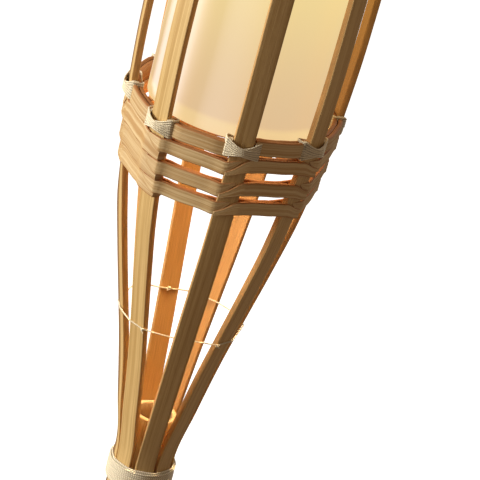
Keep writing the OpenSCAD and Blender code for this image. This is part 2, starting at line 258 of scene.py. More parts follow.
class Nodes:
    """A short way to write a node material."""

    def __init__(self, name):
        self.material = bpy.data.materials.new(name)
        self.material.use_nodes = True
        self.tree = self.material.node_tree
        self.shader = self.tree.nodes["Principled BSDF"]

    def put(self, value, socket):
        if isinstance(value, bpy.types.NodeSocket):
            self.tree.links.new(value, socket)
        else:
            socket.default_value = value

    def node(self, kind, inputs=(), output=0, **settings):
        made = self.tree.nodes.new(kind)
        for key, value in settings.items():
            setattr(made, key, value)
        for key, value in dict(inputs).items():
            self.put(value, made.inputs[key])
        return made.outputs[output]

    def math(self, operation, a, b=0.0, c=0.0):
        return self.node("ShaderNodeMath", {0: a, 1: b, 2: c}, operation=operation)

    def mix(self, factor, a, b):
        """A blend of two colours: sockets 6 and 7 of a Mix node are its colours, and output 2 is theirs."""
        return self.node("ShaderNodeMix", {"Factor": factor, 6: a, 7: b}, output=2, data_type="RGBA")

    def ramp(self, value, low, high, to_low=0.0, to_high=1.0):
        return self.node(
            "ShaderNodeMapRange",
            {"Value": value, "From Min": low, "From Max": high, "To Min": to_low, "To Max": to_high},
            interpolation_type="SMOOTHSTEP",
        )

    def noise(self, vector, scale=1.0, detail=2.0, roughness=0.5):
        return self.node(
            "ShaderNodeTexNoise",
            {"Vector": vector, "Scale": scale, "Detail": detail, "Roughness": roughness},
        )

    def scaled(self, vector, x, y, z):
        return self.node(
            "ShaderNodeVectorMath", {0: vector, 1: (x, y, z)}, operation="MULTIPLY"
        )

    def attribute(self, name, output):
        made = self.tree.nodes.new("ShaderNodeAttribute")
        made.attribute_name = name
        return made.outputs[output]

    def object_point(self):
        return self.tree.nodes.new("ShaderNodeTexCoord").outputs["Object"]

    def split(self, vector):
        made = self.tree.nodes.new("ShaderNodeSeparateXYZ")
        self.put(vector, made.inputs[0])
        return made.outputs

    def bump(self, height, distance_m, strength=1.0):
        normal = self.node(
            "ShaderNodeBump", {"Height": height, "Distance": distance_m, "Strength": strength}
        )
        self.put(normal, self.shader.inputs["Normal"])

    def set(self, **values):
        names = {
            "color": "Base Color", "rough": "Roughness", "metal": "Metallic", "coat": "Coat Weight",
            "coat_rough": "Coat Roughness", "specular": "Specular IOR Level", "sheen": "Sheen Weight",
            "sheen_rough": "Sheen Roughness", "glow": "Emission Color", "glow_power": "Emission Strength",
        }
        for key, value in values.items():
            self.put(value, self.shader.inputs[names[key]])
        return self


def rgb(r, g, b):
    """A linear colour from 0 to 255 screen values."""
    def linear(c):
        c = c / 255
        return c / 12.92 if c <= 0.04045 else ((c + 0.055) / 1.055) ** 2.4
    return (linear(r), linear(g), linear(b), 1)


def bamboo(name, light, dark, flesh, tinted, streak=1.0, gloss=0.42, relief=0.00012):
    """Split bamboo: streaked skin, darker fibrous flesh on the cut sides, and a tint towards a darker colour,
    used for stains and for painted shade.
    """
    n = Nodes(name)
    grain = n.attribute("grain", "Vector")
    depth = n.split(grain)[2]
    wide = n.noise(n.scaled(grain, 0.55, 0.006, 0.7), 1.0, 2.0)
    streaks = n.noise(n.scaled(grain, 1.9, 0.014, 2.0), 1.0, 3.0, 0.6)
    fibres = n.noise(n.scaled(grain, 7.5, 0.05, 6.0), 1.0, 2.0, 0.6)
    total = n.math("ADD", n.math("MULTIPLY", wide, 0.45), n.math("MULTIPLY", streaks, 0.35))
    total = n.math("ADD", total, n.math("MULTIPLY", fibres, 0.20))
    total = n.ramp(total, 0.5 - 0.14 / streak, 0.5 + 0.14 / streak)
    skin = n.mix(total, dark, light)
    pale = n.mix(n.ramp(fibres, 0.35, 0.7), tuple(0.72 * c for c in flesh[:3]) + (1,), flesh)
    cut = n.ramp(depth, 0.06, 0.3)
    color = n.mix(cut, skin, pale)
    # The tint darkens stained parts, and puts painted shade on slat 3
    tint = n.attribute("tint", "Fac")
    color = n.mix(tint, color, n.mix(total, tuple(0.7 * c for c in tinted[:3]) + (1,), tinted))
    rough = n.ramp(cut, 0.0, 1.0, gloss, 0.72)
    n.set(color=color, rough=rough, specular=0.45)
    n.bump(n.math("ADD", fibres, n.math("MULTIPLY", streaks, 0.8)), relief)
    return n.material


def cotton(name, color, dark, twist):
    """Cotton cord: two plies twisted together, with fuzz, and painted shade in the grooves between the plies.
    A tint darkens threads that lie under others, as painted shade.
    """
    n = Nodes(name)
    grain = n.attribute("grain", "Vector")
    parts = n.split(grain)
    turn = n.math("ADD", n.math("MULTIPLY", parts[0], 1.0), n.math("MULTIPLY", parts[1], 1 / twist))
    ply = n.math("SINE", n.math("MULTIPLY", turn, 4 * math.pi))
    ply = n.ramp(ply, -1.0, 0.6)
    place = n.object_point()
    fuzz = n.noise(place, 2600.0, 2.0)
    soil = n.noise(place, 60.0, 3.0)
    # The grooves between the plies are mixed towards the dark colour: painted shade
    shade = n.math("MULTIPLY", ply, n.ramp(fuzz, 0.2, 0.7, 0.82, 1.0))
    base = n.mix(shade, dark, color)
    base = n.mix(n.ramp(soil, 0.45, 0.75, 0.0, 0.45), base, tuple(0.75 * c for c in color[:3]) + (1,))
    # Threads with the tint set go darker: painted shade where they lie under others
    base = n.mix(n.attribute("tint", "Fac"), base, tuple(0.45 * c for c in dark[:3]) + (1,))
    n.set(color=base, rough=0.92, specular=0.2, sheen=0.25, sheen_rough=0.6)
    n.bump(n.math("ADD", ply, n.math("MULTIPLY", fuzz, 0.4)), 0.00010)
    return n.material


def moulded(name, color, rough=0.45, relief=0.00004, scale=900.0):
    """Moulded plastic with a fine spark texture and slight wear."""
    n = Nodes(name)
    place = n.object_point()
    grit = n.noise(place, scale, 3.0, 0.6)
    cloud = n.noise(place, 45.0, 3.0)
    worn = tuple(min(1.0, 1.35 * c + 0.01) for c in color[:3]) + (1,)
    n.set(color=n.mix(n.ramp(cloud, 0.4, 0.75, 0.0, 0.6), color, worn),
          rough=n.ramp(cloud, 0.3, 0.7, rough - 0.07, rough + 0.08), specular=0.5)
    n.bump(grit, relief)
    return n.material


def metal(name, color, rough):
    """Bare metal with fine scratches."""
    n = Nodes(name)
    place = n.object_point()
    scratches = n.noise(n.scaled(place, 300, 2200, 900), 1.0, 3.0)
    n.set(color=n.mix(n.ramp(scratches, 0.3, 0.8), color, tuple(0.7 * c for c in color[:3]) + (1,)),
          metal=1.0, rough=n.ramp(scratches, 0.3, 0.7, rough - 0.06, rough + 0.1))
    n.bump(scratches, 0.00002)
    return n.material


def opal(name):
    """Frosted plastic lit from inside: deeper and redder near its foot, paler and stronger higher up."""
    n = Nodes(name)
    place = n.object_point()
    z = n.split(place)[2]
    low = 0.001 * (NECK + 216.7)
    rise = n.ramp(z, low + 0.006, low + 0.115)
    plug = n.math("SUBTRACT", 1.0, n.ramp(z, low + 0.0062, low + 0.0100))
    glow = n.mix(rise, (0.70, 0.49, 0.265, 1), (0.85, 0.67, 0.275, 1))
    glow = n.mix(plug, glow, (0.80, 0.58, 0.28, 1))
    haze = n.noise(place, 70.0, 2.0)
    n.set(color=(0.22, 0.24, 0.30, 1), rough=n.ramp(haze, 0.3, 0.7, 0.42, 0.52), specular=0.35,
          glow=glow, glow_power=1.0)
    n.bump(n.noise(place, 1500.0, 2.0), 0.00002)
    return n.material


def opal_foot(name):
    """The clear foot of the diffuser, through which most of the lamp's light falls."""
    n = Nodes(name)
    place = n.object_point()
    ripple = n.noise(place, 260.0, 2.0)
    glow = n.mix(ripple, (1.0, 0.60, 0.27, 1), (1.0, 0.66, 0.33, 1))
    n.set(color=(0.8, 0.74, 0.62, 1), rough=0.35, glow=glow, glow_power=3.2)
    n.bump(ripple, 0.00005)
    return n.material


def solar(name):
    """Dark blue cells, six by two, with fine silver fingers and bus bars."""
    n = Nodes(name)
    place = n.object_point()
    x, y = n.split(place)[:2]
    fine = n.math("PINGPONG", n.math("MULTIPLY", x, 1000.0), 0.75)
    fingers = n.math("LESS_THAN", fine, 0.06)
    gap_x = n.math("LESS_THAN", n.math("PINGPONG", n.math("ADD", x, 0.0047), 0.0047), 0.0003)
    bar = n.math("LESS_THAN", n.math("ABSOLUTE", n.math("SUBTRACT", n.math("ABSOLUTE", y), 0.013)), 0.0006)
    gap_y = n.math("LESS_THAN", n.math("ABSOLUTE", y), 0.0005)
    crystal = n.noise(place, 180.0, 2.0)
    cell = n.mix(n.ramp(crystal, 0.35, 0.65), (0.006, 0.010, 0.035, 1), (0.012, 0.022, 0.075, 1))
    silver = n.math("MAXIMUM", n.math("MULTIPLY", fingers, 0.35), bar)
    color = n.mix(silver, cell, (0.55, 0.56, 0.58, 1))
    color = n.mix(n.math("MAXIMUM", gap_x, gap_y), color, (0.02, 0.02, 0.022, 1))
    n.set(color=color, rough=0.3, specular=0.5, coat=1.0, coat_rough=0.06)
    return n.material


def board_green(name):
    """Circuit board: green mask over copper tracks."""
    n = Nodes(name)
    place = n.object_point()
    cells = n.node(
        "ShaderNodeTexVoronoi", {"Vector": place, "Scale": 220.0}, output="Distance",
        distance="MANHATTAN", feature="F1",
    )
    tracks = n.ramp(cells, 0.42, 0.5)
    color = n.mix(tracks, (0.01, 0.09, 0.03, 1), (0.03, 0.19, 0.06, 1))
    n.set(color=color, rough=0.35, coat=0.4, coat_rough=0.2)
    n.bump(tracks, 0.00005)
    return n.material


def battery_wrap(name):
    """A rechargeable cell's plain sleeve, with bare steel at both ends."""
    n = Nodes(name)
    place = n.object_point()
    x = n.split(place)[0]
    end = n.math("GREATER_THAN", n.math("ABSOLUTE", x), 0.0225)
    grit = n.noise(place, 400.0, 2.0)
    sleeve = n.mix(grit, (0.02, 0.09, 0.30, 1), (0.03, 0.12, 0.38, 1))
    n.set(color=n.mix(end, sleeve, (0.6, 0.6, 0.62, 1)), rough=0.28, metal=n.math("MULTIPLY", end, 0.9))
    n.bump(grit, 0.00002)
    return n.material


SLAT_SKIN = bamboo(
    "bamboo_slat", light=rgb(226, 194, 132), dark=rgb(190, 152, 90), flesh=rgb(214, 162, 94),
    tinted=rgb(128, 86, 48),
)
POLE_SKIN = bamboo(
    "bamboo_pole", light=rgb(224, 192, 130), dark=rgb(190, 150, 88), flesh=rgb(224, 184, 132),
    tinted=rgb(150, 104, 58), gloss=0.35,
)
SPLINT_SKIN = bamboo(
    "bamboo_splint", light=rgb(230, 204, 151), dark=rgb(196, 155, 96), flesh=rgb(196, 134, 76),
    tinted=rgb(120, 72, 34), streak=1.4, gloss=0.5, relief=0.00014,
)
STRING = cotton("cotton_string", rgb(252, 243, 214), rgb(232, 214, 174), 1.9)
CORD = cotton("binding_cord", rgb(244, 234, 208), rgb(200, 184, 148), 2.6)
OPAL = opal("opal_plastic")
OPAL_FOOT = opal_foot("opal_foot")

# ---------------------------------------------------------------- slats

KNOT_Z = 322
# Degrees that each slat is twisted about its own length between the neck and the lower rows
SLAT_TWIST = [-9, 0, 0, 0, 0, 0, 0, 0]
rng = random.Random(11)


def slat_section(half, depth_half, thick, crown, hollow):
    """Points (x, depth below the outer face, grain depth) round a slat, corners rounded."""
    r = 0.45
    points = []
    for f in (-0.93, -0.6, -0.2, 0.2, 0.6, 0.93):
        x = f * (half - r)
        points.append((x, -crown * (1 - f * f), 0.0))
    for a in (90, 45, 0):
        c, s = math.cos(math.radians(a)), math.sin(math.radians(a))
        points.append((half - r + r * c, r - r * s, 0.12 if a else 0.5))
    points.append((mix(half, depth_half, 0.5), thick / 2, 1.0))
    for a in (0, -45, -90):
        c, s = math.cos(math.radians(a)), math.sin(math.radians(a))
        points.append((depth_half - r + r * c, thick - r - r * s, 1.0))
    for f in (0.93, 0.5, 0, -0.5, -0.93):
        x = f * (depth_half - r)
        points.append((x, thick - hollow * (1 - f * f), 1.0))
    for a in (-90, -45, 0):
        c, s = math.cos(math.radians(a)), math.sin(math.radians(a))
        points.append((-depth_half + r - r * c, thick - r - r * s, 1.0))
    points.append((-mix(half, depth_half, 0.5), thick / 2, 1.0))
    for a in (0, 45, 90):
        c, s = math.cos(math.radians(a)), math.sin(math.radians(a))
        points.append((-half + r - r * c, r - r * s, 0.12 if a < 90 else 0.0))
    return points


def make_slat(i):
    """Slat i: a strip that narrows towards the neck, with a joint ring, a slight sway and rounded edges."""
    half_full = SLAT_WIDTHS[i] / 2
    wedge = math.tan(math.atan2(half_full, FLARE[0][1]))
    phase = [rng.uniform(0, 6.28) for _ in range(4)]
    knot = KNOT_Z + rng.uniform(-10, 8)
    heights = [SLAT_LOW + 0.6 * k for k in range(2)]
    heights += [SLAT_LOW + 3 + 5 * k for k in range(int((SLAT_TOP - SLAT_LOW - 6) / 5) + 1)]
    heights += [knot + d for d in (-1.6, -0.8, 0, 0.8, 1.6)]
    heights += [SLAT_TOP - 1.0, SLAT_TOP]
    heights = sorted(set(round(z, 2) for z in heights))
    rings = []
    grains = []
    tints = []
    for z in heights:
        r = flare(z)
        end = min(1.0, (z - SLAT_LOW) / 1.0 + 0.55, (SLAT_TOP - z) / 1.0 + 0.55)
        half = min(half_full, r * wedge) * (0.96 + 0.04 * end) - 0.12 * (1 + math.sin(0.031 * z + phase[0]))
        inner = min(half_full, (r - SLAT_T) * wedge) * (0.96 + 0.04 * end) - 0.12 * (
            1 + math.sin(0.027 * z + phase[1]))
        sway = 0.22 * math.sin(0.017 * z + phase[2]) * smooth((z + 10) / 60)
        ridge = 0.38 * math.exp(-(((z - knot) / 1.1) ** 2)) - 0.2 * math.exp(-(((z - knot + 2.2) / 1.0) ** 2))
        thin = 0.05 * math.sin(0.05 * z + phase[3])
        twist = math.radians(SLAT_TWIST[i]) * smooth(z / 60) * (1 - smooth((z - 150) / 25))
        ring = []
        grain = []
        tint = []
        for x, depth, cut in slat_section(half, inner, SLAT_T - thin, 0.16, 0.22):
            lift = ridge * (1 - cut)
            turned_x = x * math.cos(twist) + (depth - SLAT_T / 2) * math.sin(twist)
            turned_depth = SLAT_T / 2 + (depth - SLAT_T / 2) * math.cos(twist) - x * math.sin(twist)
            ring.append(on_slat(i, r - turned_depth + lift - 0.04, turned_x + sway, z))
            grain.append((x + 40 * i, z, cut))
            darkening = 0.55 * math.exp(-(((z - knot + 1.5) / 1.1) ** 2)) * (1 - cut)
            if i == 0:
                # Slat 1's face is darker on its far side
                darkening = max(darkening, 0.9 * (1 - cut) * smooth((1.5 - x) / 3.5))
            # Slat 3, which faces the camera, is tinted darker all over: painted shade
            if i == 2:
                darkening = max(darkening, 0.2)
            tint.append(darkening)
        rings.append(ring)
        grains.append(grain)
        tints.append(tint)
    shape = Shape()
    shape.add(rings, grains, tints)
    name = f"slat_{i + 1}"
    shape.build(f"split_{name}", SLAT_SKIN, "stand", [name])


for index in range(8):
    make_slat(index)

# ---------------------------------------------------------------- woven rows

# The broad splint of the lower rows between slats 1 and 2: bottom and height of each row there
BROAD = {214: (212.2, 10.0), 203.9: (199.7, 12.2), 189.6: (187.0, 12.4), 177.6: (175.9, 10.8)}
# How far each lower row sags between slats 2 and 3
ROW_SAG = {214: 4.2, 203.9: 3.9, 189.6: 3.0, 177.6: 2.2}
# Which splint crosses over each slat: the one of the gap after it, or the one of the gap before it
CROSSING = ["after", "before"] * 4
# Height of the crossing splint at the slat's far edge, and how far its lower edge drops on the way there
FAR_HEIGHT = [6.5, 8.0, 2.6, 5.6, 2.6, 5.6, 2.6, 5.6]
FAR_DROP = [0.2, 1.2, 0.4, 2.6, 0.4, 3.2, 0.4, 3.2]
# Darkening of the outer splint in the gap after each slat
GAP_TINT = [0.2, 0.14, 0.06, 0.06, 0.1, 0.1, 0.1, 0.16]
# How far the middles of the splints lie from the slats' middle plane: in a gap, and behind a slat
SPLINT_OFFSET = 1.42
INNER_DEPTH = 3.0
# Thickness of an outer splint's end on a slat
END_T = 1.1


def splint_ring(centre, outward, up, height, thick, grooves, depth_scale, length, seed, faces_out=True):
    """One ring of a flat splint: a face with shallow lengthwise grooves and rounded edges."""
    ring = []
    grain = []
    steps = 17
    for k in range(steps):
        v = -1 + 2 * k / (steps - 1)
        edge = max(0.0, (abs(v) - 0.88) / 0.12)
        out = thick / 2 * (0.55 + 0.45 * math.sqrt(max(0.0, 1 - edge * edge)))
        for place, deep in grooves:
            out -= deep * depth_scale * math.exp(-(((v - place) / 0.07) ** 2))
        ring.append(centre + outward * out + up * (v * height / 2))
        cut = smooth((abs(v) - 0.86) / 0.12) if faces_out else 1.0
        grain.append((v * 3.9 + seed, length, cut))
    for v in (1.0, 0.9, 0.4, 0.0, -0.4, -0.9, -1.0):
        ring.append(centre - outward * (thick / 2 * (0.55 if abs(v) == 1 else 1.0)) + up * (v * height / 2))
        grain.append((v * 3.9 + seed, length, 1.0))
    return ring, grain


def band(row, i):
    """Middle height and height of a row's outer splint in the gap after slat i."""
    low, height = BROAD.get(row[0], row) if i % 8 == 0 else row
    return low + height / 2, height


def gap_sag(row, i, t):
    """Sag of a row at t across the gap after slat i: it grows from slat 1 to slat 2 and ends on slat 3."""
    depth = ROW_SAG.get(row[0], 0)
    if i % 8 == 0:
        return depth * t
    return depth if i % 8 == 1 else 0


def slat_sag(row, i, x):
    """Sag of a row where it crosses slat i, at x from the slat's middle."""
    depth = ROW_SAG.get(row[0], 0)
    if i % 8 == 1:
        return depth
    if i % 8 == 2:
        return depth * (0.5 - 0.5 * max(-1.0, min(1.0, 2 * x / SLAT_WIDTHS[2])))
    return 0


def gap_point(row, i, t, offset):
    """A point in the gap after slat i, at t from 0 to 1 across it, and its outward direction."""
    z = band(row, i)[0] if offset > 0 else row[0] + row[1] / 2
    z -= gap_sag(row, i, t)
    rc = flare(z) - SLAT_T / 2
    e0 = math.atan2(SLAT_WIDTHS[i % 8] / 2, rc)
    e1 = math.atan2(SLAT_WIDTHS[(i + 1) % 8] / 2, rc)
    a0 = slat_angle(i) + e0
    a1 = slat_angle(i + 1) - e1
    half = (a1 - a0) / 2
    f = -half + 2 * half * t
    r = rc / math.cos(e0) * ((1 - ROW_BOW) * math.cos(half) / math.cos(f) + ROW_BOW)
    a = a0 + half + f
    out = Vector((math.cos(a0 + half + 0.45 * f), math.sin(a0 + half + 0.45 * f), 0))
    p = Vector((r * math.cos(a), r * math.sin(a), NECK + z)) + out * offset
    return p, out


def over_end(row, i, gap, side):
    """Stations of a splint's end that crosses over slat i, from the near edge round the far one.

    side is 1 for the slat's edge towards the next gap, -1 for the other edge.
    Each station is (point, outward direction, height, thickness).
    """
    z, full = band(row, gap)
    rc = flare(z) - SLAT_T / 2
    half = SLAT_WIDTHS[i] / 2
    out, across = slat_frame(i)
    far_height = FAR_HEIGHT[i]
    drop = full / 2 - far_height / 2 + FAR_DROP[i]
    proud = 0.45 if i == 0 else 0.72
    haste = 1.7 if i == 0 else 1.0
    plan = [
        (1.08, 0.0), (0.85, 0.06), (0.6, 0.17), (0.35, 0.32), (0.1, 0.5), (-0.15, 0.66),
        (-0.4, 0.8), (-0.65, 0.9), (-0.88, 0.97), (-1.03, 1.0),
    ]
    stations = []
    for x, share in plan:
        t = min(1.0, haste * share)
        top = SLAT_T / 2 + proud + 0.25 * (1 - x * x)
        low = z - slat_sag(row, i, side * x * half)
        p = on_slat(i, rc + top, side * x * half, low - drop * t)
        stations.append((p, out, mix(full, far_height, t), END_T))
    for x, off, degrees in [(-1.13, 0.9, 40), (-1.17, -0.9, 90), (-1.1, -2.2, 140)]:
        a = math.radians(degrees)
        facing = (out * math.cos(a) - across * side * math.sin(a)).normalized()
        low = z - slat_sag(row, i, side * x * half)
        p = on_slat(i, rc + off, side * x * half, low - drop)
        stations.append((p, facing, far_height * 0.9, END_T))
    return stations


def tapered_end(row, i, gap, side):
    """Stations of a splint's end that tapers to a tip on slat i, with its top edge level.

    On slat 2 the tip is long and lies on top of the crossing splint. Elsewhere it lies under it.
    """
    z, full = band(row, gap)
    rc = flare(z) - SLAT_T / 2
    half = SLAT_WIDTHS[i] / 2
    out = slat_frame(i)[0]
    if i == 1:
        plan = [
            (1.08, 0.0), (0.85, 0.04), (0.6, 0.1), (0.35, 0.2), (0.1, 0.33), (-0.15, 0.5),
            (-0.35, 0.68), (-0.5, 0.85), (-0.58, 1.0),
        ]
        tip = 1.6
        proud = 1.75
    else:
        plan = [(1.08, 0.0), (0.85, 0.1), (0.62, 0.25), (0.4, 0.45), (0.18, 0.66), (-0.02, 0.85), (-0.2, 1.0)]
        tip = 1.1
        proud = 0.42
    stations = []
    for x, t in plan:
        height = mix(full, tip, t)
        rise = 0.96 * (full - height) / 2
        low = z - slat_sag(row, i, side * x * half)
        p = on_slat(i, rc + SLAT_T / 2 + proud, side * x * half, low + rise)
        stations.append((p, out, height, mix(END_T, 0.6, t)))
    return stations


def add_outer_chord(shape, row, i, wrapped, row_seed):
    """The outer splint from slat i to slat i + 1, with its crossings if the row is wrapped."""
    generator = random.Random(1000 * row_seed + i)
    deep = 0.4 if i == 0 else 1.0
    grooves = [(-0.52 + generator.uniform(-0.07, 0.07), deep * generator.uniform(0.1, 0.2)),
               (-0.04 + generator.uniform(-0.08, 0.08), deep * generator.uniform(0.1, 0.22)),
               (0.45 + generator.uniform(-0.07, 0.07), deep * generator.uniform(0.1, 0.2))]
    seed = 50 * row_seed + 9 * i
    stations = []
    if wrapped:
        make_end = over_end if CROSSING[i] == "after" else tapered_end
        stations += make_end(row, i, i, 1)[::-1]
    count = 12
    start, stop = (0.045, 0.955) if wrapped else (0.012, 0.988)
    for k in range(count + 1):
        t = start + (stop - start) * k / count
        offset = SPLINT_OFFSET
        if wrapped:
            near = max(smooth((0.16 - t) / 0.12), smooth((t - 0.84) / 0.12))
            offset += 0.75 * near
        else:
            tuck = max(smooth((0.22 - t) / 0.2), smooth((t - 0.78) / 0.2))
            offset -= 1.3 * tuck
        p, out = gap_point(row, i, t, offset)
        p.z += 0.12 * math.sin(9 * t + seed)
        height = band(row, i)[1] * (1 + 0.012 * math.sin(13 * t + seed))
        stations.append((p, out, height, 2.4 if wrapped else 2.6))
    if wrapped:
        after = (i + 1) % 8
        make_end = over_end if CROSSING[after] == "before" else tapered_end
        stations += make_end(row, after, i, -1)
    emit_splint(shape, stations, grooves, seed, tint=GAP_TINT[i] + 0.05 * (row_seed % 2))


def emit_splint(shape, stations, grooves, seed, loop=False, faces_out=True, tint=0.0):
    """A splint through its stations. One that doesn't face out shows its flesh all over."""
    rings = []
    grains = []
    length = 0.0
    up = Vector((0, 0, 1))
    for j, (p, out, height, thick) in enumerate(stations):
        if j:
            length += (p - stations[j - 1][0]).length
        scale = min(1.0, height / 6) * min(1.0, thick / 2)
        ring, grain = splint_ring(p, out, up, height, thick, grooves, scale, length, seed, faces_out)
        rings.append(ring)
        grains.append(grain)
    shape.add(rings, grains, tint, loop=loop)


def add_inner_loop(shape, row, row_seed):
    """The inner splint, one closed loop that passes behind every slat."""
    z = row[0] + row[1] / 2
    rc = flare(z) - SLAT_T / 2
    generator = random.Random(77 + row_seed)
    grooves = [(-0.4, 0.14), (0.1, 0.14), (0.5, 0.12)]
    stations = []
    for i in range(8):
        out = slat_frame(i)[0]
        half = SLAT_WIDTHS[i] / 2
        for x in (-0.9, 0.0, 0.9):
            low = z - slat_sag(row, i, x * half)
            p = on_slat(i, rc - INNER_DEPTH, x * half, low)
            stations.append((p, -out, row[1] * 0.97, 1.9))
        for k in range(1, 10):
            t = k / 10
            near = max(smooth((0.3 - t) / 0.3), smooth((t - 0.7) / 0.3))
            p, gap_out = gap_point(row, i, t, -SPLINT_OFFSET - (INNER_DEPTH - SPLINT_OFFSET) * near)
            p.z += generator.uniform(-0.08, 0.08)
            stations.append((p, -gap_out, row[1] * 0.97, 2.4 - 0.5 * near))
    emit_splint(shape, stations, grooves, 300 + 13 * row_seed, loop=True, faces_out=False)


def make_row(name, row, wrapped, row_seed):
    """A woven row: an outer splint in each gap, wrapped over the slats or not, and an inner loop."""
    shape = Shape()
    for i in range(8):
        add_outer_chord(shape, row, i, wrapped, row_seed)
    add_inner_loop(shape, row, row_seed)
    shape.build(f"splint_{name}", SPLINT_SKIN, "stand", [name])


for number, row in enumerate(LOWER_ROWS):
    make_row(f"lower_row_{number + 1}", row, number > 0, number + 1)
for number, row in enumerate(UPPER_ROWS):
    make_row(f"upper_row_{number + 1}", row, number > 0, number + 11)

# ---------------------------------------------------------------- string lashings

# Threads in each slanting half of a lashing, and upright wraps at each side of the slat
SLANTING = 9
UPRIGHT = 3


def lashing_loop(i, row, diagonal, v, lift, jitter):
    """One thread of a lashing: slantwise over the slat's face, round both sides, and back behind.

    diagonal is 1 for a thread that rises to the right and -1 for one that falls.
    v runs from 0 for the lowest thread to 1 for the highest.
    """
    z0 = row[0] + row[1] / 2
    height = row[1] + 0.8
    rc = flare(z0) - SLAT_T / 2
    half = SLAT_WIDTHS[i] / 2
    reach = half + 2.7
    z0 -= slat_sag(row, i, 0)
    low = (-0.53 + 0.62 * v) * height
    high = (-0.09 + 0.62 * v) * height
    z_left, z_right = (low, high) if diagonal > 0 else (high, low)
    points = []
    front = SLAT_T / 2 + 0.42
    for k in range(9):
        x = -reach + 2 * reach * k / 8
        u = k / 8
        middle = math.sin(math.pi * u)
        z = mix(z_left, z_right, u) * (1 - 0.3 * middle) - 0.07 * height * middle + jitter
        edge = smooth((abs(x) - half + 1.0) / 3.4)
        ridge = 1.7 * (1 - (abs(x) / reach) ** 1.4)
        off = front + ridge + lift * middle - 0.8 * edge
        points.append(on_slat(i, rc + off, x, z0 + z))
    points.append(on_slat(i, rc + 0.6, reach + 0.8, z0 + z_right + jitter))
    points.append(on_slat(i, rc - 2.2, reach + 0.9, z0 + z_right + jitter))
    for k in range(5):
        x = reach - 2 * reach * k / 4
        z = mix(z_right, z_left, k / 4)
        points.append(on_slat(i, rc - 4.5, x, z0 + z + jitter))
    points.append(on_slat(i, rc - 2.2, -reach - 0.9, z0 + z_left + jitter))
    points.append(on_slat(i, rc + 0.6, -reach - 0.8, z0 + z_left + jitter))
    return curve_through(points, 3, loop=True)


def make_lashings(name, row):
    """The lashings of a row: at each slat, upright wraps at both sides and a cross of slanting threads."""
    shape = Shape()
    generator = random.Random(len(name))
    for i in range(8):
        half = SLAT_WIDTHS[i] / 2
        z0 = row[0] + row[1] / 2
        rc = flare(z0) - SLAT_T / 2
        z0 -= slat_sag(row, i, 0)
        for side in (-1, 1):
            for k in range(UPRIGHT):
                x = side * (half + 0.5 + 0.75 * k)
                points = []
                for a in range(0, 360, 24):
                    c, s = math.cos(math.radians(a)), math.sin(math.radians(a))
                    wide = (2.2 - 0.25 * k if c > 0 else 2.9) * (abs(c) ** 0.45) * math.copysign(1, c)
                    tall = (row[1] / 2 + 0.3) * (abs(s) ** 0.45) * math.copysign(1, s)
                    points.append(on_slat(i, rc + wide, x + 0.25 * side * c, z0 + tall))
                tube(shape, points, 0.36, seed=7 * k)
        for diagonal, lift in ((1, 0.1), (-1, 0.8)):
            for k in range(SLANTING):
                under = k % 2
                jitter = generator.uniform(-0.1, 0.1)
                points = lashing_loop(i, row, diagonal, k / (SLANTING - 1), lift - 0.35 * under, jitter)
                # Every second thread lies under the others and is tinted darker: painted shade
                tube(shape, points, 0.42 - 0.06 * under, seed=11 * k + 3 * i, tint=0.6 * under)
    shape.build(f"string_{name}", STRING, "stand", [name], sharp=80)


make_lashings("lower_lashings", LOWER_ROWS[0])
make_lashings("upper_lashings", UPPER_ROWS[0])

# ---------------------------------------------------------------- mid twine


def twine_points():
    """The twine's way round the slats, outside some and inside others."""
    points = []
    generator = random.Random(5)
    r = flare(TWINE_Z)
    for i in range(8):
        outside = TWINE_SIDE[i] > 0
        off = 0.5 if outside else -SLAT_T - 0.5
        half = SLAT_WIDTHS[i] / 2
        rise = generator.uniform(-0.5, 0.5)
        for x in (-half - 0.7, -half * 0.5, half * 0.5, half + 0.7):
            bend = 0.0 if abs(x) < half else (-0.35 if outside else 0.35)
            points.append(on_slat(i, r + off + bend, x, TWINE_Z + rise + 0.1 * x / half))
    return points


def add_ply(shape, path, radius, spread, turns_apart, phase):
    """One ply of a twisted twine."""
    count = len(path)
    points = []
    length = 0.0
    total = sum((path[(j + 1) % count] - path[j]).length for j in range(count))
    turns = round(total / turns_apart)
    for j, p in enumerate(path):
        along = (path[(j + 1) % count] - path[j - 1]).normalized()
        u = along.cross(Vector((0, 0, 1))).normalized()
        v = u.cross(along)
        a = phase + 2 * math.pi * turns * length / total
        points.append(p + spread * (math.cos(a) * u + math.sin(a) * v))
        length += (path[(j + 1) % count] - p).length
    tube(shape, points, radius, sides=6, seed=phase)


def add_knot(shape, centre, out, across, size):
    """An overhand knot: a small tangle of three turns round the twine."""
    up = Vector((0, 0, 1))
    for turn in range(3):
        points = []
        for k in range(12):
            a = 2 * math.pi * k / 12
            tilt = 0.5 * math.sin(a + turn)
            points.append(centre + across * (size * (0.35 * (turn - 1) + 0.3 * tilt))
                          + size * 0.75 * (math.cos(a) * out + math.sin(a) * up))
        tube(shape, points, 0.36, sides=6, seed=2 * turn)
    for sign in (-1, 1):
        tail = [centre, centre + (0.8 * out + 0.3 * sign * up) * size,
                centre + (1.0 * out + 1.0 * sign * up + 0.8 * across) * size,
                centre + (0.8 * out + 1.6 * sign * up + 1.9 * across) * size]
        tube(shape, curve_through(tail, 4), 0.3, sides=6, loop=False, seed=9)


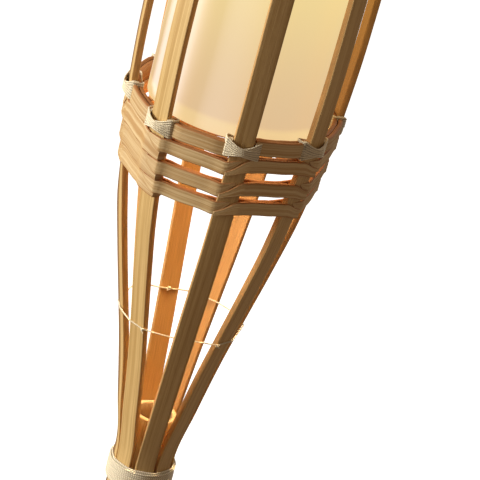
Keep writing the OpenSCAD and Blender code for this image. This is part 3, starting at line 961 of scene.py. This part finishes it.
def make_twine():
    """The mid twine: two plies laid round each other in a loop, with four knots."""
    shape = Shape()
    path = curve_through(twine_points(), 14, loop=True)
    add_ply(shape, path, 0.31, 0.22, 2.4, 0.0)
    add_ply(shape, path, 0.31, 0.22, 2.4, math.pi)
    r = flare(TWINE_Z)
    for i, x, outside in ((1, 5.2, True), (3, -6.4, True), (6, 0.0, False), (5, 5.9, False)):
        out, across = slat_frame(i)
        place = on_slat(i, r + (0.75 if outside else -SLAT_T - 0.8), x, TWINE_Z)
        add_knot(shape, place, out if outside else -out, across, 0.85)
    shape.build("twisted_mid_twine", STRING, "stand", ["mid_twine"], sharp=80)


make_twine()

# ---------------------------------------------------------------- cord bindings


def hull_radius(angle, corners):
    """Radius of the outline stretched round the slats' corners, at an angle."""
    best = 0.0
    direction = Vector((math.cos(angle), math.sin(angle)))
    for a, b in zip(corners, corners[1:] + corners[:1]):
        edge = b - a
        normal = Vector((edge.y, -edge.x)).normalized()
        along = direction.dot(normal)
        if along < 1e-6:
            continue
        hit = a.dot(normal) / along
        p = direction * hit
        t = (p - a).dot(edge) / edge.length_squared
        if -0.001 <= t <= 1.001:
            best = max(best, hit)
    return best


def make_binding(name, low, height):
    """A cord wound in two layers round the slats, from a height above the neck upwards."""
    corners = []
    r = FLARE[0][1]
    for i in range(8):
        out, across = slat_frame(i)
        for side in (-1, 1):
            p = out * r + across * side * (SLAT_WIDTHS[i] / 2)
            corners.append(Vector((p.x, p.y)))
    outline = [hull_radius(math.radians(6 * k), corners) for k in range(60)]
    middle = sum(outline) / 60
    generator = random.Random(len(name) + 3)
    shape = Shape()
    pitch = 1.3
    cord_radius = 0.66
    turns = int(height / pitch)
    for layer in range(2):
        points = []
        layer_turns = turns - layer
        waver = [generator.uniform(-0.12, 0.12) for _ in range(layer_turns * 4 + 8)]
        bulge = [generator.uniform(-0.1, 0.16) for _ in range(layer_turns * 4 + 8)]
        for k in range(layer_turns * 60 + 1):
            turn = k / 60
            a = 2 * math.pi * turn
            q = turn * 4
            j = int(q)
            w = mix(waver[j], waver[j + 1], smooth(q - j))
            b = mix(bulge[j], bulge[j + 1], smooth(q - j))
            flat = mix(outline[k % 60], middle, 0.35 + 0.4 * layer)
            radius = flat + 0.68 + 0.95 * layer + b * (0.4 + 0.6 * layer)
            z = NECK + low + pitch * (0.5 + 0.5 * layer) + pitch * turn + w * (0.3 + 0.7 * layer)
            points.append(Vector((radius * math.cos(a + layer * 2.1), radius * math.sin(a + layer * 2.1), z)))
        tube(shape, points, cord_radius, loop=False, seed=3.0 * layer)
    shape.build(f"wound_{name}", CORD, "stand", [name], sharp=80)


make_binding("neck_binding", -24, 15)
make_binding("tail_binding", -72, 12)

# ---------------------------------------------------------------- pole


def make_pole():
    """The hollow pole: a turned surface with swollen joints, a chamfered rim and a slanting point."""
    top = 1000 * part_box("pole")[1].z
    point = -1000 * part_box("pole")[0].z
    around = 72
    radius = 13.4
    bore = 10.2
    knots = (192, 408)

    def cut(x):
        """Height of the slanting cut at x, from 0 down to the point."""
        return -point * (radius - x) / (2 * radius)

    heights = list(np.arange(0, top - 2, 8.0))
    for z in knots:
        heights += [z + d for d in (-6, -4.5, -3.2, -2.4, -1.6, -0.8, 0, 0.8, 1.6, 2.4, 3.2, 4.5)]
    heights = sorted(set(round(float(z), 2) for z in heights)) + [top - 1.2, top - 0.4, top]
    rings = []
    grains = []
    tints = []

    def add(z, r, cut_depth, darkening, share=None):
        """A ring at height z or, with a share, at that share of the way down to the slanting cut."""
        ring = []
        grain = []
        tint = []
        for k in range(around):
            a = 2 * math.pi * k / around
            x, y = r * math.cos(a), r * math.sin(a)
            height = z if share is None else share * cut(x)
            ring.append(Vector((x, y, height)))
            grain.append((a * radius, height, cut_depth))
            tint.append(darkening * (0.75 + 0.25 * math.sin(3 * a + z)))
        rings.append(ring)
        grains.append(grain)
        tints.append(tint)

    for share in (1.0, 0.8, 0.6, 0.4, 0.2):
        add(0.0, radius, 0.1 if share == 1.0 else 0.0, 0.0, share)
    for z in heights:
        r = radius
        darkening = 0.0
        for place in knots:
            r += 1.15 * math.exp(-(((z - place) / 1.5) ** 2))
            r -= 0.35 * math.exp(-(((z - place + 3.4) / 1.1) ** 2))
            darkening = max(darkening, 0.8 * math.exp(-(((z - place + 3.2) / 1.3) ** 2)),
                        0.4 * math.exp(-(((z - place) / 1.2) ** 2)))
        near_top = top - z
        if near_top < 1.0:
            r -= 0.5 * (1 - near_top)
        add(z, r, 0.0 if near_top > 0.5 else 0.2, darkening)
    add(top, bore + 0.3, 0.7, 0.0)
    add(top - 0.5, bore, 0.9, 0.0)
    for z in [v for v in heights[::-1] if v < top - 4][::3]:
        add(z, bore, 1.0, 0.0)
    for share in (0.33, 0.66, 1.0):
        add(0.0, bore, 1.0, 0.0, share)
    shape = Shape()
    shape.add(rings, grains, tints, loop=True)
    shape.build("bamboo_pole_body", POLE_SKIN, "stand", ["pole"])


make_pole()

# ---------------------------------------------------------------- lantern


def finish_node(name, material, bevel=0.0):
    """Gives a kept CAD node its material and rounds its edges by bevel, in metres."""
    obj = nodes[name]
    obj.data.materials.clear()
    obj.data.materials.append(material)
    if bevel:
        edge = obj.modifiers.new("edges", "BEVEL")
        edge.width = bevel
        edge.segments = 2
        edge.limit_method = "ANGLE"
        edge.angle_limit = math.radians(40)
        edge.harden_normals = False


BLACK_PLASTIC = moulded("cap_plastic", (0.022, 0.018, 0.015, 1), 0.42)
SEAL = moulded("seal_rubber", (0.012, 0.012, 0.012, 1), 0.75)
WHITE_PLASTIC = moulded("white_plastic", (0.8, 0.8, 0.77, 1), 0.3)
SWITCH = moulded("switch_plastic", (0.06, 0.06, 0.065, 1), 0.4)
BUTTON = moulded("button_plastic", (0.42, 0.03, 0.02, 1), 0.38)
LEAD = moulded("lead_wire", (0.38, 0.03, 0.02, 1), 0.45)
STEEL = metal("screw_steel", (0.62, 0.62, 0.63, 1), 0.3)
CONTACT = metal("contact_steel", (0.66, 0.62, 0.52, 1), 0.28)
LED_LENS = moulded("led_lens", (0.9, 0.85, 0.6, 1), 0.12)

finish_node("diffuser_tube", OPAL, 0.0006)
finish_node("diffuser_base", OPAL_FOOT, 0.0006)
finish_node("cap_housing", BLACK_PLASTIC, 0.0005)
finish_node("cap_lid", BLACK_PLASTIC, 0.0007)
finish_node("lid_seal", SEAL, 0.0002)
finish_node("cap_screws", STEEL, 0.00012)
finish_node("board_screws", STEEL, 0.0001)
finish_node("door_screw", STEEL, 0.0001)
finish_node("solar_panel", solar("solar_cells"), 0.0002)
finish_node("panel_leads", LEAD)
finish_node("circuit_board", board_green("circuit_board"), 0.0001)
finish_node("led", LED_LENS)
finish_node("reflector", WHITE_PLASTIC, 0.0001)
finish_node("battery", battery_wrap("battery_wrap"), 0.0003)
finish_node("battery_contacts", CONTACT, 0.0001)
finish_node("battery_door", BLACK_PLASTIC, 0.0003)
finish_node("switch_body", SWITCH, 0.0002)
finish_node("switch_button", BUTTON, 0.0004)

# ---------------------------------------------------------------- floor, lights, camera


def make_floor():
    """A pale floor just below the point."""
    mesh = bpy.data.meshes.new("floor")
    z = -0.037
    mesh.from_pydata([(-14, -14, z), (14, -14, z), (14, 14, z), (-14, 14, z)], [], [(0, 1, 2, 3)])
    floor = bpy.data.objects.new("floor", mesh)
    bpy.context.scene.collection.objects.link(floor)
    n = Nodes("pale_floor")
    n.set(color=(0.9, 0.9, 0.9, 1), rough=0.9, glow=(1, 1, 1, 1), glow_power=0.9)
    mesh.materials.append(n.material)
    floor.visible_diffuse = False
    floor.visible_glossy = False


def area_light(name, azimuth, elevation, distance, size, power, color, target):
    """A square soft light, placed by its direction from the target. Azimuth 0 is the camera's side."""
    data = bpy.data.lights.new(name, "AREA")
    data.shape = "SQUARE"
    data.size = size
    data.energy = power
    data.color = color
    light = bpy.data.objects.new(name, data)
    a, e = math.radians(azimuth), math.radians(elevation)
    away = Vector((math.sin(a) * math.cos(e), -math.cos(a) * math.cos(e), math.sin(e)))
    light.location = target + away * distance
    light.rotation_euler = (-away).to_track_quat("-Z", "Y").to_euler()
    bpy.context.scene.collection.objects.link(light)


def lamp_light():
    """The lamp's beam through the clear foot of the diffuser. It moves with the lantern."""
    data = bpy.data.lights.new("lamp_beam", "AREA")
    data.shape = "DISK"
    data.size = 0.085
    data.spread = math.radians(28)
    data.energy = 0.04
    data.color = (1.0, 0.76, 0.45)
    beam = bpy.data.objects.new("lamp_beam", data)
    beam.location = (0, 0, 0.001 * (NECK + 215.5))
    bpy.context.scene.collection.objects.link(beam)
    beam.parent = frame["bodies"]["lantern"]


def make_lights():
    """A large key light from the left, a weak one from behind, and a dim warm world, seen as white."""
    middle = Vector((0, 0, 0.70))
    area_light("key", -81, 15, 1.9, 0.9, 54, (1.0, 0.97, 0.93), middle)
    area_light("rim", 150, 25, 2.2, 1.2, 10, (1.0, 0.98, 0.95), middle)
    world = bpy.data.worlds.new("studio")
    bpy.context.scene.world = world
    world.use_nodes = True
    tree = world.node_tree
    back = tree.nodes["Background"]
    path = tree.nodes.new("ShaderNodeLightPath")
    level = tree.nodes.new("ShaderNodeMapRange")
    level.inputs["To Min"].default_value = 0.21
    level.inputs["To Max"].default_value = 1.0
    tree.links.new(path.outputs["Is Camera Ray"], level.inputs["Value"])
    tree.links.new(level.outputs[0], back.inputs["Strength"])
    tint = tree.nodes.new("ShaderNodeMix")
    tint.data_type = "RGBA"
    tint.inputs[6].default_value = (1.0, 0.74, 0.56, 1)
    tint.inputs[7].default_value = (1, 1, 1, 1)
    tree.links.new(path.outputs["Is Camera Ray"], tint.inputs["Factor"])
    tree.links.new(tint.outputs[2], back.inputs["Color"])


def make_camera():
    """A long lens, looking down on the basket's shoulder and rolled so that the torch leans."""
    data = bpy.data.cameras.new("camera")
    data.lens = 156.75
    data.sensor_width = 36
    data.clip_start = 0.05
    data.clip_end = 60
    camera = bpy.data.objects.new("camera", data)
    behind_m, above_m = 1.06467, 1.17044
    pan, tilt, roll = (math.radians(v) for v in (1.15, 23.81, 15.26))
    ahead = Vector((math.sin(pan) * math.cos(tilt), math.cos(pan) * math.cos(tilt), -math.sin(tilt)))
    right = Vector((math.cos(pan), -math.sin(pan), 0))
    up = right.cross(ahead)
    turned_right = math.cos(roll) * right + math.sin(roll) * up
    turned_up = math.cos(roll) * up - math.sin(roll) * right
    camera.matrix_world = Matrix((
        (turned_right.x, turned_up.x, -ahead.x, 0),
        (turned_right.y, turned_up.y, -ahead.y, -behind_m),
        (turned_right.z, turned_up.z, -ahead.z, above_m),
        (0, 0, 0, 1),
    ))
    bpy.context.scene.collection.objects.link(camera)
    bpy.context.scene.camera = camera


make_floor()
make_lights()
lamp_light()
make_camera()
bpy.context.scene.view_settings.view_transform = "Standard"
